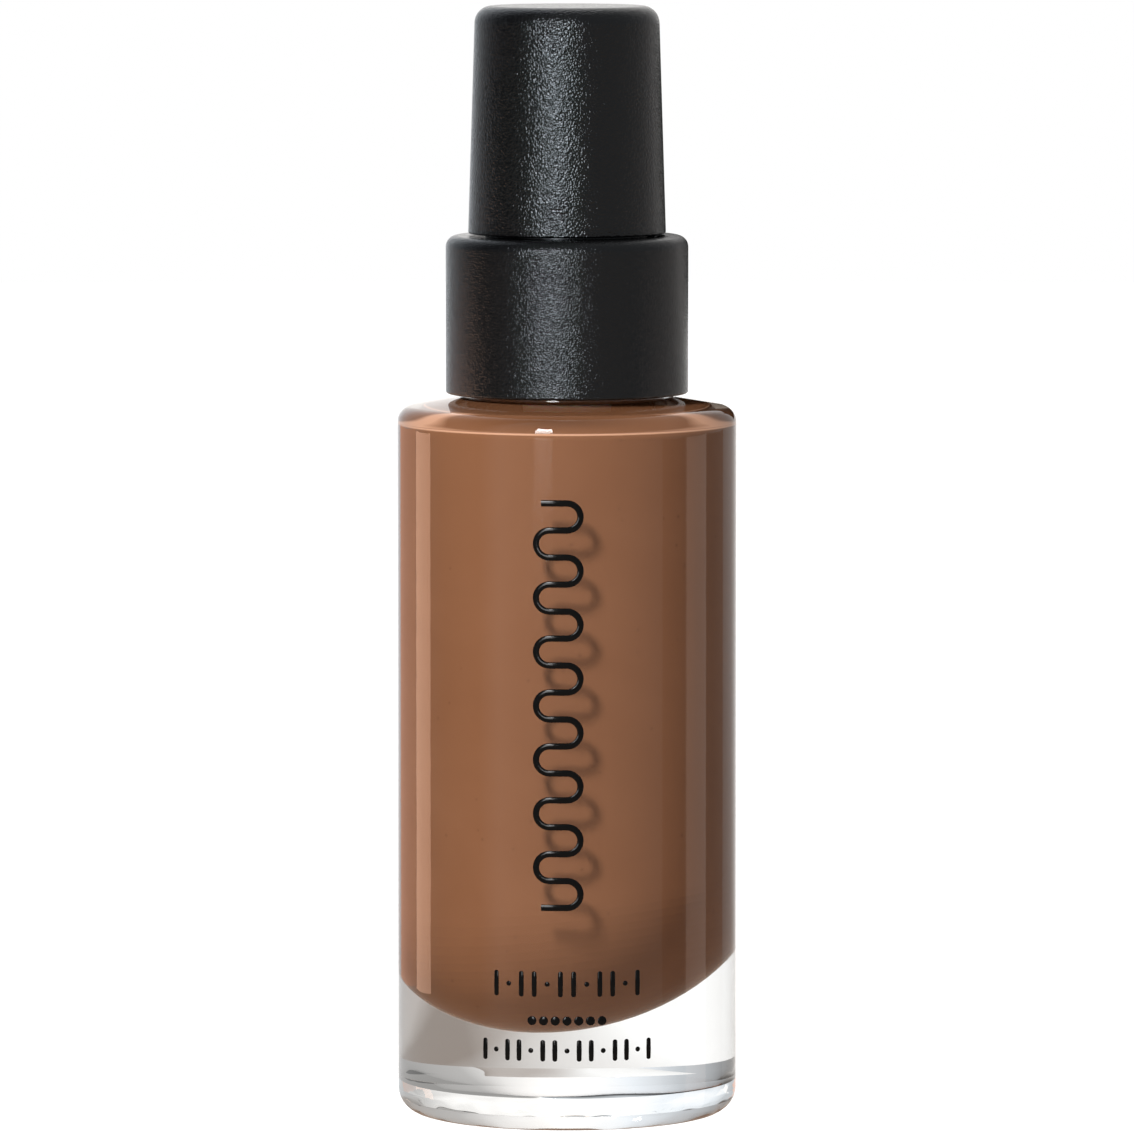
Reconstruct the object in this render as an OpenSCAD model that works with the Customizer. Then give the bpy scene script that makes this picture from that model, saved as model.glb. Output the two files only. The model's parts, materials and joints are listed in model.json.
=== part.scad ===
// Foundation bottle: a heavy-based glass cylinder with a screw-on treatment pump,
// a smooth collar and a pull-off overcap.
// +Z is up, the front is -Y, and the origin is the middle of the base. Millimetres.

/* [Glass bottle] */
// Outside diameter of the bottle
body_d = 33; // [27:0.5:42]
// Height of the shoulder's edge above the table
shoulder_h = 69.2; // [55:0.2:90]
// Thickness of the side wall
side_wall = 2.8; // [2:0.1:4]
// Thickness of the glass over the liquid at the shoulder
top_wall = 1.6; // [1.6:0.1:4]
// Thickness of the clear base under the lowest point of the liquid
base_glass = 8.5; // [4:0.5:14]
// How far the bowl inside the base sits off centre, towards -X
bowl_shift = 2; // [0:0.25:3]
// Rounding between the side and the underside
heel_r = 2.5; // [1:0.1:3.5]
// Rounding between the side and the shoulder
shoulder_r = 2.2; // [1:0.1:3.5]
// Rounding inside, between the side wall and the shoulder
inner_shoulder_r = 1; // [1:0.1:3]
// How much higher the shoulder is at the bead than at its edge
shoulder_rise = 0.75; // [0:0.05:1.2]
// Width of the flat ring that the bottle stands on
bearing_w = 3; // [2:0.25:5]
// Depth of the hollow in the underside
push_up = 0.8; // [0.3:0.1:1.5]

/* [Neck finish] */
// Outside diameter of the neck at the root of its thread
neck_d = 17.4; // [16:0.1:19]
// Thickness of the neck's wall at the root of its thread
neck_wall = 2.4; // [1.8:0.1:2.6]
// Height of the neck from the shoulder to the lip
neck_h = 13.05; // [12.6:0.05:16]
// How far the thread stands out from the neck
thread_depth = 1.05; // [0.8:0.05:1.2]
// Rise of the thread in one turn
thread_pitch = 3.175; // [3.175:0.005:3.6]
// Turns of thread on the neck
thread_turns = 1.5; // [1:0.25:1.75]
// How far the bead under the thread stands out from the neck
bead_out = 1.6; // [1:0.1:1.8]
// Height of the bead above the shoulder
bead_h = 1.7; // [1.2:0.1:2]
// Height of the liquid above the shoulder, inside the neck
fill_over = 2; // [-1:0.1:2.5]

/* [Collar and closure] */
// Wall of the threaded closure
closure_wall = 0.9; // [0.7:0.05:2]
// Gap between the shoulder and the lower edge of the collar
collar_gap = 1.2; // [0.6:0.1:2]
// Wall of the collar shell
collar_wall = 0.8; // [0.5:0.05:1]
// Rounding of the upper edge of the collar
collar_edge_r = 1.1; // [0.5:0.1:1.5]
// Thickness of the flat top of the closure
deck_t = 1; // [0.6:0.1:1.4]
// Height above the collar of the upstand, the ring that the overcap snaps over
upstand_h = 4.8; // [3:0.1:6]
// Wall of the upstand
upstand_wall = 0.9; // [0.6:0.05:1.2]
// Gap between the upstand and the actuator inside it
upstand_gap = 0.85; // [0.4:0.05:1.2]

/* [Pump] */
// Travel of the actuator when it is pressed
stroke = 4.5; // [3:0.1:5]
// Thickness of the soft gasket on the lip
gasket_t = 0.8; // [0.5:0.1:1.2]
// Thickness of the flange of the housing
flange_t = 0.8; // [0.6:0.1:1.2]
// Bore of the pump chamber
chamber_d = 7.4; // [7.2:0.1:8.4]
// Length that the return spring still has in hand when the actuator is pressed
spring_spare = 1.9; // [1:0.1:4]
// Wall of the pump housing
housing_wall = 0.9; // [0.7:0.05:1]
// Outside diameter of the hollow stem
stem_d = 5.2; // [5:0.1:5.6]
// Bore of the hollow stem
stem_bore_d = 2.4; // [2:0.1:2.6]
// Diameter of the wire of the return spring
wire_d = 0.5; // [0.4:0.05:0.6]
// Turns of the return spring
spring_turns = 7; // [6:1:8]
// Diameter of the inlet ball
inlet_ball_d = 2.5; // [2.2:0.1:2.8]
// Diameter of the outlet ball
outlet_ball_d = 1.9; // [1.7:0.1:2]
// Free travel of each ball above its seat
ball_lift = 0.8; // [0.4:0.1:1]
// Outside diameter of the dip tube
tube_d = 3; // [2.6:0.1:3.2]
// Bore of the dip tube
tube_bore_d = 2; // [1.4:0.1:2.2]
// Gap between the foot of the dip tube and the glass under it
tube_foot_gap = 1.2; // [0.8:0.1:3]
// Length of the boss that holds the dip tube
boss_h = 5.5; // [4:0.5:8]

/* [Actuator] */
// Outside diameter of the actuator
actuator_d = 12.4; // [11.6:0.1:13.2]
// Height of the actuator
actuator_h = 13; // [11:0.5:15]
// Wall of the actuator shell
actuator_wall = 0.9; // [0.7:0.1:1.1]
// Diameter of the nozzle tip
nozzle_d = 2.6; // [2.2:0.1:3]
// Bore of the nozzle tip
nozzle_bore_d = 1; // [0.6:0.1:1.2]
// How far the nozzle tip stands out of the actuator
nozzle_out = 0.9; // [0.4:0.1:1]

/* [Overcap] */
// Slope of the side of the overcap, in degrees
overcap_lean = 1.77; // [0:0.01:2.2]
// Free height inside the overcap, above the actuator
headroom = 1.9; // [1:0.1:6]
// Gap between the collar and the overcap
overcap_gap = 0.2; // [0.1:0.05:0.5]
// Wall of the overcap shell
overcap_wall = 1; // [0.8:0.05:1.1]
// Thickness of the top of the overcap shell
overcap_roof = 1.2; // [0.8:0.1:2]
// Wall of the liner inside the overcap
liner_wall = 0.45; // [0.35:0.05:0.55]
// Wall of the liner where it grips the upstand
grip_wall = 0.6; // [0.5:0.05:0.9]
// Width of the step in the liner that stops on the upstand
stop_w = 0.3; // [0.2:0.05:0.4]
// Rounding of the top edge of the overcap
overcap_edge_r = 1.6; // [0.8:0.1:2]

/* [Clearances] */
// Radial clearance of parts that slide or turn in each other
run_gap = 0.04; // [0.02:0.01:0.1]
// Clearance between faces that seat on each other
seat_gap = 0.03; // [0.02:0.01:0.05]
// Clearance of parts that pass each other without touching
free_gap = 0.3; // [0.2:0.05:0.5]
// Gap drawn between the liquid and what it touches
film_gap = 0.05; // [0.03:0.01:0.1]

/* [Hidden] */
$fn = 64;
cut = 0.5;                                   // how far a cutter runs past a face
root_bite = 0.3;                             // how far a thread's root sinks into its wall
lip_round = 0.4;                             // rounding of the glass lip

// Bottle
body_r = body_d / 2;
cavity_r = body_r - side_wall;
bowl_reach = 0.3;                            // how far the bowl reaches past the cavity's wall
bowl_r = cavity_r + bowl_shift + bowl_reach;
bowl_z = base_glass + bowl_r;
cavity_top = shoulder_h - top_wall;
bearing_r = body_r - heel_r - bearing_w;     // inner radius of the flat ring underneath
push_up_r = (bearing_r * bearing_r + push_up * push_up) / (2 * push_up);
neck_r = neck_d / 2;
neck_bore_r = neck_r - neck_wall;
lip_z = shoulder_h + neck_h;
bead_r = neck_r + bead_out;
bead_top = shoulder_h + bead_h;
dome_gap = 0.3;                              // least gap between the shoulder and the collar
dome_z = shoulder_h + min(shoulder_rise, collar_gap - dome_gap);
thread_root_h = 1.6;                         // height of a thread where it joins its wall
thread_crest_h = 0.8;                        // height of a thread at its crest
closure_z = bead_top + free_gap;
thread_lead = 1.1;                           // closure's edge to the middle of its thread's start
closure_thread_z = closure_z + thread_lead;
neck_thread_z = closure_thread_z + thread_pitch / 2;

// Closure, from the lip up
flange_z = lip_z + seat_gap + gasket_t;
deck_z = flange_z + flange_t + seat_gap;
closure_bore_r = neck_r + thread_depth + free_gap;
closure_r = closure_bore_r + closure_wall;
collar_r = closure_r + run_gap + collar_wall;
collar_z = shoulder_h + collar_gap;
deck_top = deck_z + deck_t;
collar_top = deck_top + seat_gap + collar_wall;
actuator_r = actuator_d / 2;
upstand_in_r = actuator_r + upstand_gap;
upstand_r = upstand_in_r + upstand_wall;
upstand_top = collar_top + upstand_h;

// Pump housing, from the flange down
cup_play = 0.15;                             // clearance of the housing's cup in the neck
cup_floor_t = 1;                             // floor of the cup, round the chamber
retainer_h = 3;                              // depth of the retainer in the cup
top_room = 0.4;                              // free height over the seal, and over the inlet ball
ball_play = 0.4;                             // clearance round the inlet ball
seal_h = 3;
seal_lip_h = 0.8;                            // height of each wiping lip of the seal
rod_head_h = 0.8;
spring_turn_h = wire_d * 1.04;               // rise of a closed turn of the spring
inlet_t = 0.3;                               // straight mouth under the inlet cone
web_t = 0.8;                                 // plastic between the dip tube's end and the inlet
shoulder_t = 0.9;                            // height of the cone between boss and barrel
flange_r = neck_r - lip_round;
chamber_r = chamber_d / 2;
barrel_r = chamber_r + housing_wall;
cup_r = neck_bore_r - cup_play;
cup_in_r = cup_r - housing_wall;
retainer_z = flange_z + flange_t - retainer_h;
cup_z = retainer_z - cup_floor_t;
seal_z = retainer_z - top_room - seal_h;
rod_head_z = seal_z - seat_gap - rod_head_h;
seat_z = rod_head_z - stroke - spring_turns * spring_turn_h - spring_spare;
tube_r = tube_d / 2;
ball_room_r = inlet_ball_d / 2 + ball_play;
ball_room_z = seat_z - inlet_ball_d - ball_lift - top_room;
cone_in_r = inlet_ball_d * 0.36;             // mouth of the inlet under the ball
cone_h = ball_room_r - cone_in_r;            // a seat at 45 degrees
cone_z = ball_room_z - inlet_t;
boss_r = tube_r + housing_wall;
boss_z = cone_z - boss_h;
tube_top = cone_z - web_t;
foot_z = base_glass + tube_foot_gap;

// Moving parts of the pump
lag = 0.1 * stroke;                          // how far the seal stays behind the rod
stem_z = seal_z + seal_h + lag + seat_gap;
stem_r = stem_d / 2;
stem_bore_r = stem_bore_d / 2;
actuator_rise = 0.9;                         // actuator's foot above the upstand
socket_h = 5;                                // depth of the stem in the actuator
socket_wall = 0.9;                           // wall of the actuator's socket round the stem
core_inset = 0.3;                            // how far the core's foot sits up inside the shell
top_t = 1.7;                                 // actuator's top over its core
nozzle_drop = 5;                             // actuator's top to the nozzle's axis
neck_bush_t = 1.3;                           // wall of the retainer's neck round the stem
outlet_room_h = 3.4;                         // room over the outlet seat
outlet_play = 0.35;                          // clearance round the outlet ball
nozzle_chamfer = 0.3;
actuator_z = upstand_top + actuator_rise;
stem_top = actuator_z + socket_h;
actuator_top = actuator_z + actuator_h;
core_r = stem_r + socket_wall;
core_z = actuator_z + core_inset;
retainer_neck_r = stem_r + neck_bush_t;
retainer_top = core_z - stroke - free_gap;
core_top = actuator_top - top_t;
nozzle_z = actuator_top - nozzle_drop;
nozzle_r = nozzle_d / 2;
nozzle_tip_r = actuator_r + nozzle_out;
rod_r = stem_bore_r * 0.75;
outlet_seat_z = stem_top - outlet_room_h;
outlet_room_r = outlet_ball_d / 2 + outlet_play;

// Overcap
overcap_z = collar_top + overcap_gap;
overcap_top = actuator_top + headroom + liner_wall + seat_gap + overcap_roof;
liner_bore_r = upstand_r + run_gap;
liner_step_z = upstand_top + seat_gap;
overcap_r = liner_bore_r + grip_wall + seat_gap + overcap_wall;

// Outside radius of the overcap at a height
function overcap_r_at(z) = overcap_r - (z - overcap_z) * tan(overcap_lean);

// Height of a ball's middle when it rests on a cone at 45 degrees that starts at radius r
function ball_on_cone(z, r, ball_r) = z - r + (ball_r + seat_gap) * sqrt(2);

// A plain tube standing on z0
module tube(r_out, r_in, z0, z1) {
    difference() {
        translate([0, 0, z0]) cylinder(r = r_out, h = z1 - z0);
        translate([0, 0, z0 - cut]) cylinder(r = r_in, h = z1 - z0 + 2 * cut);
    }
}

// A solid rod standing on z0
module rod(r, z0, z1) {
    translate([0, 0, z0]) cylinder(r = r, h = z1 - z0);
}

// What rounds the outer corner (x, z) of a half profile: up is 1 at the top, -1 underneath
module corner_cut(x, z, r, up) {
    middle_z = z - up * r;
    difference() {
        translate([x - r, up > 0 ? middle_z : z - cut]) square([r + cut, r + cut]);
        translate([x - r, middle_z]) circle(r = r);
    }
}

// Half profile of a plain disc with rounded outer corners
module disc_profile(r, z0, z1, r_low = 0, r_top = 0) {
    difference() {
        translate([0, z0]) square([r, z1 - z0]);
        if (r_low > 0) corner_cut(r, z0, r_low, -1);
        if (r_top > 0) corner_cut(r, z1, r_top, 1);
    }
}

// A thread or coil: the profile's [radius, height] points swept along a helix.
// heights holds how high the profile has climbed at each step.
module sweep_helix(profile, heights, step_angle) {
    count = len(profile);
    last = len(heights) - 1;
    points = [for (i = [0:last]) for (p = profile)
        [p[0] * cos(i * step_angle), p[0] * sin(i * step_angle), p[1] + heights[i]]];
    sides = [for (i = [0:last - 1]) for (j = [0:count - 1])
        [i * count + j, i * count + (j + 1) % count,
            (i + 1) * count + (j + 1) % count, (i + 1) * count + j]];
    first_end = [for (j = [count - 1:-1:0]) j];
    last_end = [for (j = [0:count - 1]) last * count + j];
    polyhedron(points, concat([first_end], sides, [last_end]), convexity = 6);
}

// A trapezoid thread; root_r is inside its wall and crest_r is where it ends
module thread(root_r, crest_r, z, turns) {
    steps_per_turn = 30;
    out = crest_r > root_r;
    profile = [[root_r, -thread_root_h / 2], [crest_r, -thread_crest_h / 2],
        [crest_r, thread_crest_h / 2], [root_r, thread_root_h / 2]];
    heights = [for (i = [0:turns * steps_per_turn]) i * thread_pitch / steps_per_turn];
    ordered = out ? profile : [for (i = [3:-1:0]) profile[i]];
    translate([0, 0, z]) sweep_helix(ordered, heights, 360 / steps_per_turn);
}

// The space inside the bottle below its neck, drawn in by a gap
module cavity(gap) {
    r = cavity_r - gap;
    rotate_extrude() disc_profile(r, bowl_z, cavity_top - gap, 0, inner_shoulder_r);
    intersection() {
        rod(r, base_glass - cut, bowl_z);
        translate([-bowl_shift, 0, bowl_z]) sphere(r = bowl_r - gap);
    }
}

module glass_bottle() {
    color([0.93, 0.95, 0.96, 0.35])
        difference() {
            union() {
                rotate_extrude()
                    difference() {
                        union() {
                            disc_profile(body_r, 0, shoulder_h, heel_r, shoulder_r);
                            polygon([[0, shoulder_h - cut], [body_r - shoulder_r, shoulder_h - cut],
                                [body_r - shoulder_r, shoulder_h], [bead_r, dome_z], [0, dome_z]]);
                            disc_profile(bead_r, shoulder_h - cut, bead_top, 0, bead_h / 3);
                            disc_profile(neck_r, shoulder_h - cut, lip_z, 0, lip_round);
                        }
                        translate([0, push_up - push_up_r]) circle(r = push_up_r);
                    }
                thread(neck_r - root_bite, neck_r + thread_depth, neck_thread_z, thread_turns);
            }
            cavity(0);
            rod(neck_bore_r, cavity_top - cut, lip_z + cut);
        }
}

// The room that the pump needs in the liquid, open towards the neck
module pump_room() {
    rod(tube_r + free_gap, foot_z - free_gap, lip_z);
    rod(boss_r + free_gap, boss_z - free_gap, lip_z);
    rod(barrel_r + free_gap, cone_z - shoulder_t - free_gap, lip_z);
    rod(cup_r + film_gap, cup_z - cup_floor_t - free_gap, lip_z);
}

module foundation_fill() {
    color([0.62, 0.42, 0.3])
        difference() {
            union() {
                cavity(film_gap);
                rod(neck_bore_r - film_gap, cavity_top - cut, shoulder_h + fill_over);
            }
            pump_room();
        }
}

module neck_gasket() {
    color([0.9, 0.9, 0.88])
        tube(flange_r, cup_r + seat_gap, lip_z + seat_gap, flange_z);
}

module pump_housing() {
    stop_reach = 0.7;                        // three small stops keep the inlet ball in its room
    stop_t = 0.6;
    color([0.94, 0.94, 0.93])
        difference() {
            union() {
                rod(flange_r, flange_z, flange_z + flange_t);
                rod(cup_r, cup_z - cup_floor_t, flange_z);
                rod(barrel_r, ball_room_z, cup_z);
                translate([0, 0, cone_z - shoulder_t])
                    cylinder(r1 = boss_r, r2 = barrel_r, h = inlet_t + shoulder_t);
                rod(boss_r, boss_z, cone_z);
            }
            rod(cup_in_r, retainer_z, flange_z + flange_t + cut);
            rod(chamber_r, seat_z, retainer_z + cut);
            difference() {
                rod(ball_room_r, ball_room_z, seat_z + cut);
                for (turn = [0:120:240])
                    rotate(turn)
                        translate([ball_room_r - stop_reach, -stop_t / 2, seat_z - top_room])
                            cube([2, stop_t, top_room]);
            }
            translate([0, 0, ball_room_z - cone_h])
                cylinder(r1 = cone_in_r, r2 = ball_room_r, h = cone_h);
            rod(cone_in_r, tube_top - cut, ball_room_z);
            rod(tube_r, boss_z - cut, tube_top);
        }
}

module stem_retainer() {
    color([0.9, 0.9, 0.9])
        difference() {
            union() {
                rod(cup_in_r, retainer_z, flange_z + flange_t);
                rod(retainer_neck_r, flange_z + flange_t - cut, retainer_top);
            }
            rod(stem_r + run_gap, retainer_z - cut, retainer_top + cut);
        }
}

module return_spring() {
    steps = 18;
    wire_r = wire_d / 2;
    coil_gap = 0.45;
    coil_r = chamber_r - wire_r - coil_gap;
    last = spring_turns * steps;
    height = rod_head_z - seat_gap - seat_z - wire_d;
    open = (height - 2 * spring_turn_h) / (spring_turns - 2);
    heights = [for (i = [0:last]) let (turn = i / steps)
        spring_turn_h * min(turn, 1) + open * max(0, min(turn, spring_turns - 1) - 1)
            + spring_turn_h * max(0, turn - spring_turns + 1)];
    profile = [for (i = [0:7]) [coil_r + wire_r * cos(i * 45), wire_r * sin(i * 45)]];
    color([0.75, 0.76, 0.78])
        translate([0, 0, seat_z + wire_r]) sweep_helix(profile, heights, 360 / steps);
}

module inlet_ball() {
    ball_r = inlet_ball_d / 2;
    color([0.8, 0.81, 0.82])
        translate([0, 0, ball_on_cone(ball_room_z, ball_room_r, ball_r)])
            sphere(r = ball_r);
}

module outlet_ball() {
    ball_r = outlet_ball_d / 2;
    color([0.8, 0.81, 0.82])
        translate([0, 0, ball_on_cone(outlet_seat_z, outlet_room_r, ball_r)])
            sphere(r = ball_r);
}

// The seal: a sleeve on the rod, with a lip above and below that wipes the chamber
module piston_seal() {
    lip_r = chamber_r - run_gap;
    lip_out = 0.6;
    skirt_t = 0.5;
    sleeve_wall = 0.7;
    bore_r = rod_r + run_gap;
    groove_z = seal_z + 1.2;
    color([0.96, 0.96, 0.95])
        difference() {
            union() {
                rod(lip_r, seal_z, seal_z + seal_lip_h);
                rod(lip_r - lip_out, seal_z, seal_z + seal_h);
                rod(lip_r, seal_z + seal_h - seal_lip_h, seal_z + seal_h);
            }
            rod(bore_r, seal_z - cut, seal_z + seal_h + cut);
            tube(lip_r - lip_out - skirt_t, bore_r + sleeve_wall, groove_z, seal_z + seal_h + cut);
        }
}

// The rod: a head on the spring, a shank through the seal and a fluted plug in the stem
module piston_rod() {
    plug_z = stem_z + 2;
    plug_top = stem_z + 5;
    rib_t = 0.7;
    head_play = 0.5;
    color([0.93, 0.93, 0.92])
        union() {
            rod(chamber_r - head_play, rod_head_z, rod_head_z + rod_head_h);
            rod(rod_r, rod_head_z, plug_top);
            intersection() {
                rod(stem_bore_r, plug_z, plug_top);
                for (turn = [0, 90])
                    rotate(turn)
                        translate([-stem_bore_r, -rib_t / 2, plug_z])
                            cube([stem_bore_d, rib_t, plug_top - plug_z]);
            }
        }
}

module pump_stem() {
    inlet_r = stem_bore_r * 0.6;
    cone = outlet_room_r - inlet_r;
    land = 0.6;
    color([0.95, 0.95, 0.94])
        difference() {
            rod(stem_r, stem_z, stem_top);
            rod(stem_bore_r, stem_z - cut, outlet_seat_z - cone - land);
            rod(inlet_r, stem_z, outlet_seat_z);
            translate([0, 0, outlet_seat_z - cone])
                cylinder(r1 = inlet_r, r2 = outlet_room_r, h = cone);
            rod(outlet_room_r, outlet_seat_z, stem_top + cut);
        }
}

// The dip tube, its foot cut on the slant
module dip_tube() {
    color([0.93, 0.95, 0.96])
        difference() {
            tube(tube_r, tube_bore_d / 2, foot_z, tube_top);
            translate([0, -tube_d, foot_z])
                rotate([0, -35, 0])
                    translate([-tube_d * 3, 0, -tube_d * 2])
                        cube([tube_d * 6, tube_d * 2, tube_d * 2]);
        }
}

module screw_closure() {
    color([0.1, 0.1, 0.11]) {
        difference() {
            union() {
                rotate_extrude()
                    disc_profile(closure_r, closure_z, deck_top, 0, collar_edge_r);
                rod(upstand_r, deck_top - cut, upstand_top);
            }
            rod(closure_bore_r, closure_z - cut, deck_z);
            rod(retainer_neck_r + free_gap, deck_z - cut, deck_top + cut);
            rod(upstand_in_r, deck_top, upstand_top + cut);
        }
        thread(closure_bore_r + root_bite, neck_r + free_gap, closure_thread_z, thread_turns);
    }
}

module collar_shell() {
    color([0.07, 0.07, 0.075])
        rotate_extrude()
            difference() {
                disc_profile(collar_r, collar_z, collar_top, 0, collar_edge_r);
                disc_profile(collar_r - collar_wall, collar_z - cut, collar_top - collar_wall,
                    0, collar_edge_r - collar_wall / 2);
                square([upstand_r + run_gap, collar_top + cut]);
            }
}

module actuator_shell() {
    dish_r = actuator_d * 1.6;
    dish_depth = 0.5;
    edge_round = 0.9;
    color([0.08, 0.08, 0.085])
        difference() {
            rotate_extrude()
                difference() {
                    disc_profile(actuator_r, actuator_z, actuator_top, 0, edge_round);
                    disc_profile(actuator_r - actuator_wall, actuator_z - cut, core_top + seat_gap);
                    translate([0, actuator_top + dish_r - dish_depth]) circle(r = dish_r);
                }
            translate([0, 0, nozzle_z])
                rotate([90, 0, 0])
                    cylinder(r = nozzle_r + seat_gap, h = actuator_r + cut);
        }
}

// The core: a socket on the stem, a channel up and a boss towards the nozzle
module actuator_core() {
    boss_end = actuator_r - actuator_wall - seat_gap;
    boss_wall = 0.7;
    color([0.92, 0.92, 0.91])
        difference() {
            union() {
                rod(core_r, core_z, core_top);
                intersection() {
                    translate([0, 0, nozzle_z])
                        rotate([90, 0, 0])
                            cylinder(r = nozzle_r + boss_wall, h = boss_end + cut);
                    rod(boss_end, actuator_z, core_top);
                }
            }
            rod(stem_r + run_gap, actuator_z - cut, stem_top + seat_gap);
            rod(outlet_room_r, actuator_z, nozzle_z);
            translate([0, 0, nozzle_z])
                rotate([90, 0, 0]) {
                    cylinder(r = nozzle_bore_d / 2, h = actuator_r);
                    translate([0, 0, core_r]) cylinder(r = nozzle_r, h = actuator_r);
                }
        }
}

module nozzle_tip() {
    color([0.08, 0.08, 0.085])
        translate([0, 0, nozzle_z])
            rotate([90, 0, 0])
                difference() {
                    union() {
                        translate([0, 0, core_r])
                            cylinder(r = nozzle_r, h = nozzle_tip_r - core_r - nozzle_chamfer);
                        translate([0, 0, nozzle_tip_r - nozzle_chamfer])
                            cylinder(r1 = nozzle_r, r2 = nozzle_r - nozzle_chamfer, h = nozzle_chamfer);
                    }
                    cylinder(r = nozzle_bore_d / 2, h = nozzle_tip_r + cut);
                }
}

module overcap_shell() {
    edge_z = overcap_top - overcap_edge_r;
    edge_x = overcap_r_at(edge_z) - overcap_edge_r / cos(overcap_lean);
    edge = [for (step = [0:12]) let (turn = overcap_lean + (90 - overcap_lean) * step / 12)
        [edge_x + overcap_edge_r * cos(turn), edge_z + overcap_edge_r * sin(turn)]];
    roof_z = overcap_top - overcap_roof;
    color([0.07, 0.07, 0.075])
        rotate_extrude()
            difference() {
                polygon(concat([[0, overcap_z], [overcap_r, overcap_z]], edge, [[0, overcap_top]]));
                polygon([[0, overcap_z - cut],
                    [overcap_r_at(overcap_z - cut) - overcap_wall, overcap_z - cut],
                    [overcap_r_at(roof_z) - overcap_wall, roof_z], [0, roof_z]]);
            }
}

// The liner: grips the upstand below its step and follows the shell above it
module overcap_liner() {
    skin = overcap_wall + seat_gap;
    foot_inset = 0.5;
    low_z = overcap_z + foot_inset;
    high_z = overcap_top - overcap_roof - seat_gap;
    stop_r = overcap_r_at(liner_step_z) - skin - liner_wall - stop_w;
    color([0.12, 0.12, 0.125])
        rotate_extrude()
            difference() {
                polygon([[0, low_z], [overcap_r_at(low_z) - skin, low_z],
                    [overcap_r_at(high_z) - skin, high_z], [0, high_z]]);
                square([liner_bore_r, liner_step_z]);
                polygon([[0, low_z - cut], [stop_r, low_z - cut], [stop_r, liner_step_z],
                    [overcap_r_at(high_z) - skin - liner_wall, high_z - liner_wall],
                    [0, high_z - liner_wall]]);
            }
}

glass_bottle();
foundation_fill();
neck_gasket();
pump_housing();
stem_retainer();
return_spring();
inlet_ball();
outlet_ball();
piston_seal();
piston_rod();
pump_stem();
dip_tube();
screw_closure();
collar_shell();
actuator_shell();
actuator_core();
nozzle_tip();
overcap_shell();
overcap_liner();
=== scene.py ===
# %% [markdown]
# # A bottle of liquid foundation
#
# The real thing is a heavy clear glass cylinder full of brown liquid. A pump is screwed on its neck,
# a smooth black collar hides the screw closure, and a black overcap pulls straight off.
# The hidden parts come in from the CAD model as they are. The parts that the eye lands on are made
# again here with finer meshes: on a round, shiny part every flat facet shows in its reflections.

# %% Load the CAD model
import json
import math

import bmesh
import bpy
from mathutils import Matrix, Vector, noise


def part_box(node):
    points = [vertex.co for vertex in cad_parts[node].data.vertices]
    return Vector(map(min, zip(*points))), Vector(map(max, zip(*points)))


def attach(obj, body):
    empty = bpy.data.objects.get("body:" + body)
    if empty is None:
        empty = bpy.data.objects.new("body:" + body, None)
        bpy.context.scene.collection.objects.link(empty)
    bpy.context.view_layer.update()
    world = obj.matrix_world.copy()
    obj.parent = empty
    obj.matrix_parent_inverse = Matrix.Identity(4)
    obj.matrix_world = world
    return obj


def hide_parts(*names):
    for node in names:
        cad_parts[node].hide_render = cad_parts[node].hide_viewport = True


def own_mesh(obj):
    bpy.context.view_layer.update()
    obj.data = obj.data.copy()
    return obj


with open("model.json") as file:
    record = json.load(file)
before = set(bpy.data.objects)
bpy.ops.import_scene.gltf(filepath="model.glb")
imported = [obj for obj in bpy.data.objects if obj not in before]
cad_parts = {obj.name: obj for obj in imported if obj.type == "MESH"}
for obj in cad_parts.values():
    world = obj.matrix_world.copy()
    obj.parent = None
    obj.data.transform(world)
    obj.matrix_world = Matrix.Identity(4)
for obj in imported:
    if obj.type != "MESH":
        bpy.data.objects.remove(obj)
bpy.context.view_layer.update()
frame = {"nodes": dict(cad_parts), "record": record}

# %% [markdown]
# ## Sizes that the new meshes share
#
# A new mesh has to fit the CAD part that it stands for, so its main sizes are read from the CAD
# parts' boxes. The outlines below are easier to think about in millimetres, and Blender works in
# metres, so MM turns one into the other.

# %% Read the main sizes
MM = 0.001


def span(node):
    """The outer radius, foot and top of a CAD part, in millimetres."""
    low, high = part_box(node)
    return high.y / MM, low.z / MM, high.z / MM


glass_r, _, lip_z = span("glass_bottle")
collar_r, collar_foot, collar_top = span("collar_shell")
overcap_r, overcap_foot, overcap_top = span("overcap_shell")
shoulder_z = collar_foot - 1.2
print("glass radius", round(glass_r, 2), "shoulder", round(shoulder_z, 2), "lip", round(lip_z, 2))

# %% [markdown]
# ## Spinning an outline
#
# Every large part of this bottle is round, as if it was turned on a lathe. Blender could start from a
# cylinder and cut loops into it. It is simpler to draw half of the part's section as a chain of
# points, round its corners with a vertex bevel, and spin it round the upright axis. The spin merges
# its last ring with its first, and points on the axis are merged to one pole afterwards.
#
# Smooth shading blends the directions of neighbouring faces. A long flat wall next to a rounded edge
# would look slightly barrel-shaped, so each long stretch gets a support point close to both ends,
# and the blend happens in that narrow strip alone.

# %% Helper: spin a rounded outline


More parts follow.
